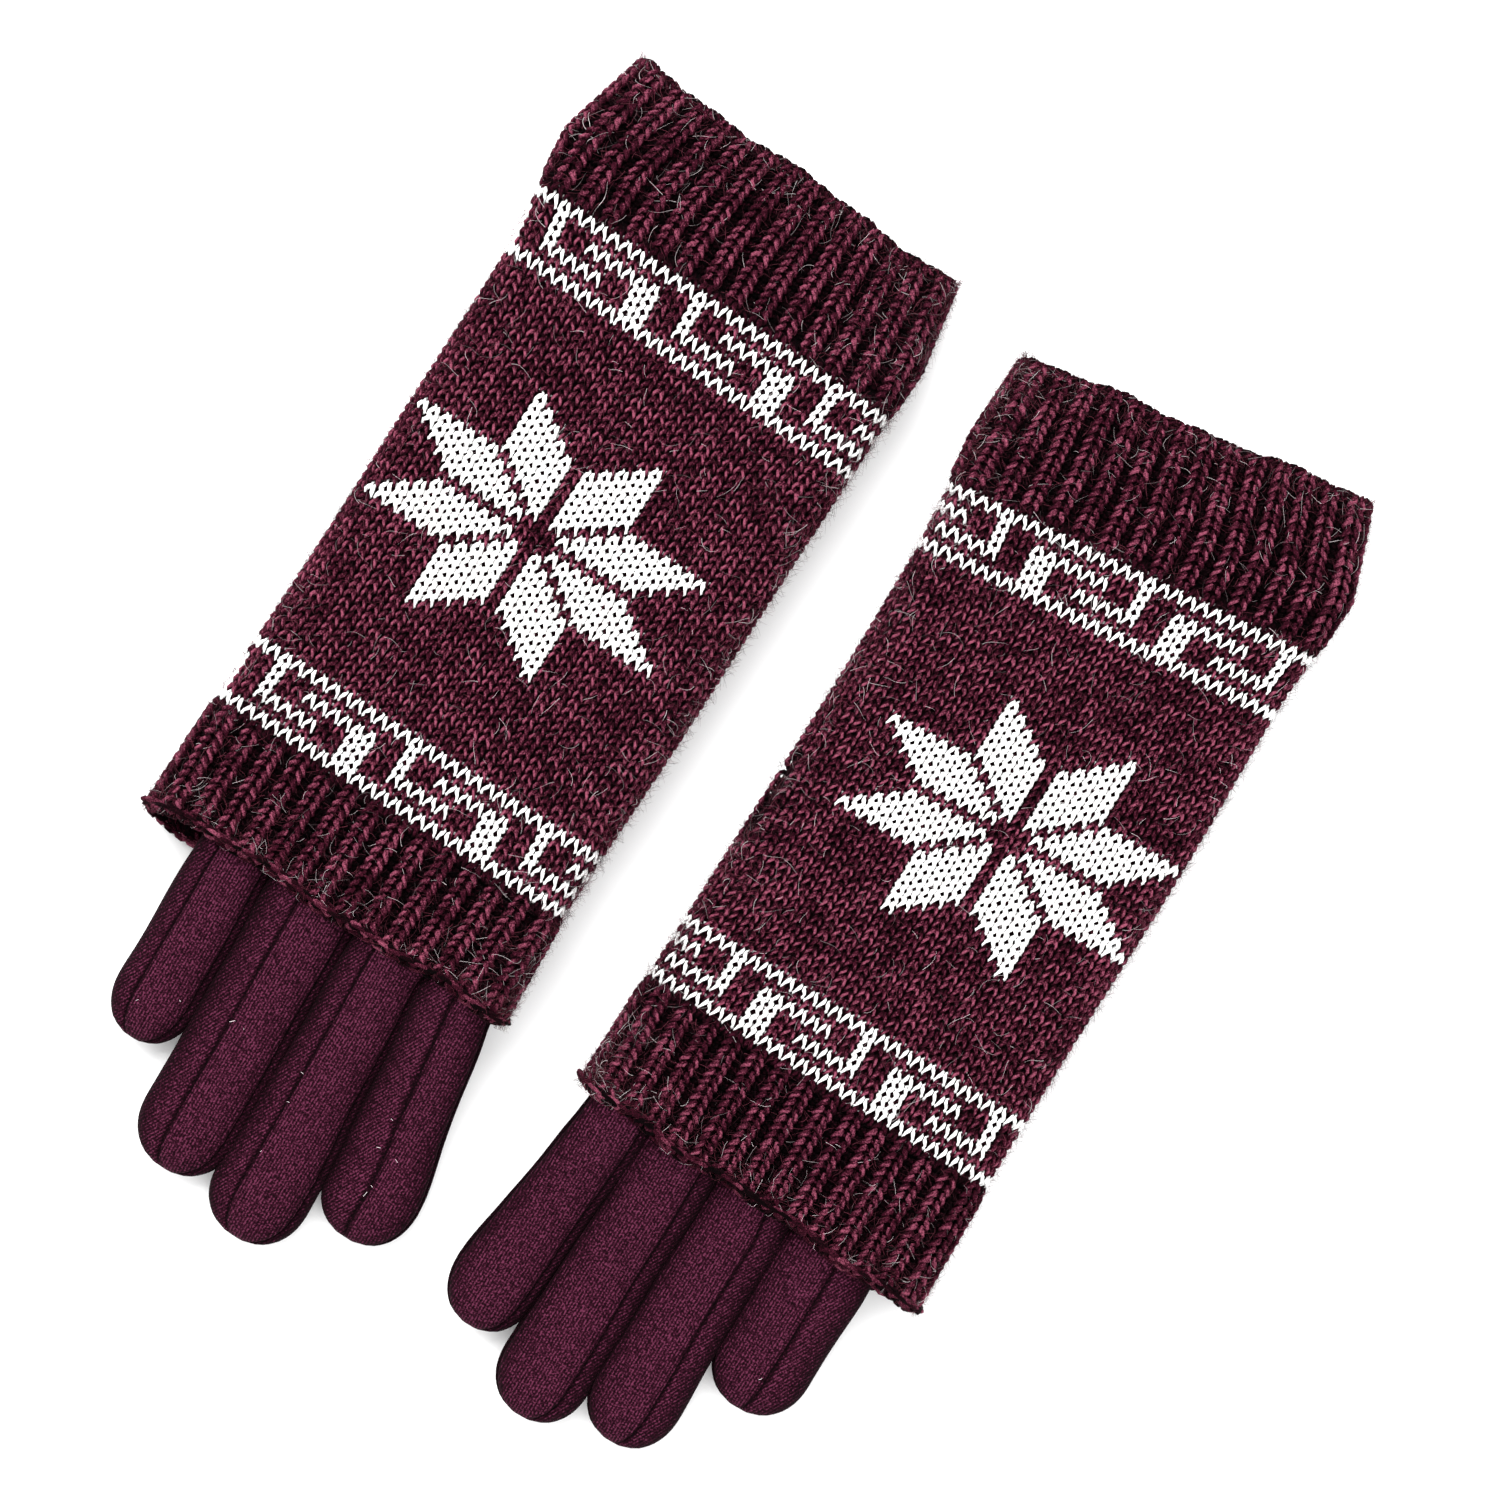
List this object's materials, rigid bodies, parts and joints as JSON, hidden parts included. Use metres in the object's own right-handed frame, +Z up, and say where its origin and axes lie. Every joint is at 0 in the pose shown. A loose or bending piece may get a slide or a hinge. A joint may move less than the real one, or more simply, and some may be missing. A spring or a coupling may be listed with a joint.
{
  "type": "layered knit mittens",
  "caption": "Pair of two-layer winter mittens: a patterned knitted fingerless sleeve with ribbed ends over a sewn jersey five-finger glove.",
  "frame": {"origin": "bottom centre of the pair, on the surface that the gloves lie on", "axes": "+Z up out of the backs of the hands; fingers point to -Y and wrists to +Y; the right-hand glove lies on the -X side"},
  "size_m": [0.2198, 0.2892, 0.0268],
  "materials": {
    "burgundy_yarn": "brushed wool-blend yarn, knitted",
    "white_yarn": "wool-blend yarn, knitted",
    "patterned_knit": "burgundy yarn with a white key pattern",
    "jersey": "brushed jersey, cut and sewn"
  },
  "bodies": {
    "right_hand": {"right_back_panel": "jersey", "right_palm_panel": "jersey", "right_wrist_hem": "jersey", "right_thumb_gusset": "jersey", "right_fourchette_index_middle": "jersey", "right_fourchette_middle_ring": "jersey", "right_fourchette_ring_little": "jersey", "right_index_finger_base": "jersey", "right_middle_finger_base": "jersey", "right_ring_finger_base": "jersey", "right_little_finger_base": "jersey"},
    "right_sleeve": {"right_wrist_rib": "burgundy_yarn", "right_wrist_band": "patterned_knit", "right_sleeve_body": "burgundy_yarn", "right_snowflake": "white_yarn", "right_hand_band": "patterned_knit", "right_hand_rib": "burgundy_yarn", "right_thumb_edge": "burgundy_yarn"},
    "right_index": {"right_index_fingertip": "jersey", "right_index_tip_fourchette": "jersey"},
    "right_middle": {"right_middle_fingertip": "jersey", "right_middle_tip_fourchette": "jersey"},
    "right_ring": {"right_ring_fingertip": "jersey", "right_ring_tip_fourchette": "jersey"},
    "right_little": {"right_little_fingertip": "jersey", "right_little_tip_fourchette": "jersey"},
    "right_thumb": {"right_thumb": "jersey"},
    "left_hand": {"left_back_panel": "jersey", "left_palm_panel": "jersey", "left_wrist_hem": "jersey", "left_thumb_gusset": "jersey", "left_fourchette_index_middle": "jersey", "left_fourchette_middle_ring": "jersey", "left_fourchette_ring_little": "jersey", "left_index_finger_base": "jersey", "left_middle_finger_base": "jersey", "left_ring_finger_base": "jersey", "left_little_finger_base": "jersey"},
    "left_sleeve": {"left_wrist_rib": "burgundy_yarn", "left_wrist_band": "patterned_knit", "left_sleeve_body": "burgundy_yarn", "left_snowflake": "white_yarn", "left_hand_band": "patterned_knit", "left_hand_rib": "burgundy_yarn", "left_thumb_edge": "burgundy_yarn"},
    "left_index": {"left_index_fingertip": "jersey", "left_index_tip_fourchette": "jersey"},
    "left_middle": {"left_middle_fingertip": "jersey", "left_middle_tip_fourchette": "jersey"},
    "left_ring": {"left_ring_fingertip": "jersey", "left_ring_tip_fourchette": "jersey"},
    "left_little": {"left_little_fingertip": "jersey", "left_little_tip_fourchette": "jersey"},
    "left_thumb": {"left_thumb": "jersey"}
  },
  "joints": [
    {"name": "right_sleeve_slide", "type": "slide", "parent": "right_hand", "child": "right_sleeve", "axis": [0.0229, 0.9997, 0], "range_m": [-0.003, 0.015]},
    {"name": "right_index_bend", "type": "hinge", "parent": "right_hand", "child": "right_index", "pos_m": [-0.01974, -0.08712, 0.01106], "axis": [0.9997, -0.0229, 0], "range_deg": [-60, 90]},
    {"name": "right_middle_bend", "type": "hinge", "parent": "right_hand", "child": "right_middle", "pos_m": [-0.04009, -0.08666, 0.01028], "axis": [0.9997, -0.0229, 0], "range_deg": [-60, 90]},
    {"name": "right_ring_bend", "type": "hinge", "parent": "right_hand", "child": "right_ring", "pos_m": [-0.06239, -0.08615, 0.00935], "axis": [0.9997, -0.0229, 0], "range_deg": [-60, 90]},
    {"name": "right_little_bend", "type": "hinge", "parent": "right_hand", "child": "right_little", "pos_m": [-0.08419, -0.08565, 0.00844], "axis": [0.9997, -0.0229, 0], "range_deg": [-60, 90]},
    {"name": "right_thumb_swing", "type": "hinge", "parent": "right_hand", "child": "right_thumb", "pos_m": [-0.0279, 0.02309, 0.00352], "axis": [0, 0, 1], "range_deg": [0, 38]},
    {"name": "left_glove_lift", "type": "slide", "parent": "right_hand", "child": "left_hand", "axis": [0, 0, 1], "range_m": [0, 0.15]},
    {"name": "left_sleeve_slide", "type": "slide", "parent": "left_hand", "child": "left_sleeve", "axis": [-0.0229, 0.9997, 0], "range_m": [-0.003, 0.015]},
    {"name": "left_index_bend", "type": "hinge", "parent": "left_hand", "child": "left_index", "pos_m": [0.02252, -0.09308, 0.011], "axis": [0.9997, 0.0229, 0], "range_deg": [-60, 90]},
    {"name": "left_middle_bend", "type": "hinge", "parent": "left_hand", "child": "left_middle", "pos_m": [0.04163, -0.09264, 0.01027], "axis": [0.9997, 0.0229, 0], "range_deg": [-60, 90]},
    {"name": "left_ring_bend", "type": "hinge", "parent": "left_hand", "child": "left_ring", "pos_m": [0.06223, -0.09217, 0.00942], "axis": [0.9997, 0.0229, 0], "range_deg": [-60, 90]},
    {"name": "left_little_bend", "type": "hinge", "parent": "left_hand", "child": "left_little", "pos_m": [0.08425, -0.09166, 0.00849], "axis": [0.9997, 0.0229, 0], "range_deg": [-60, 90]},
    {"name": "left_thumb_swing", "type": "hinge", "parent": "left_hand", "child": "left_thumb", "pos_m": [0.0286, 0.01709, 0.00352], "axis": [0, 0, -1], "range_deg": [0, 38]}
  ]
}
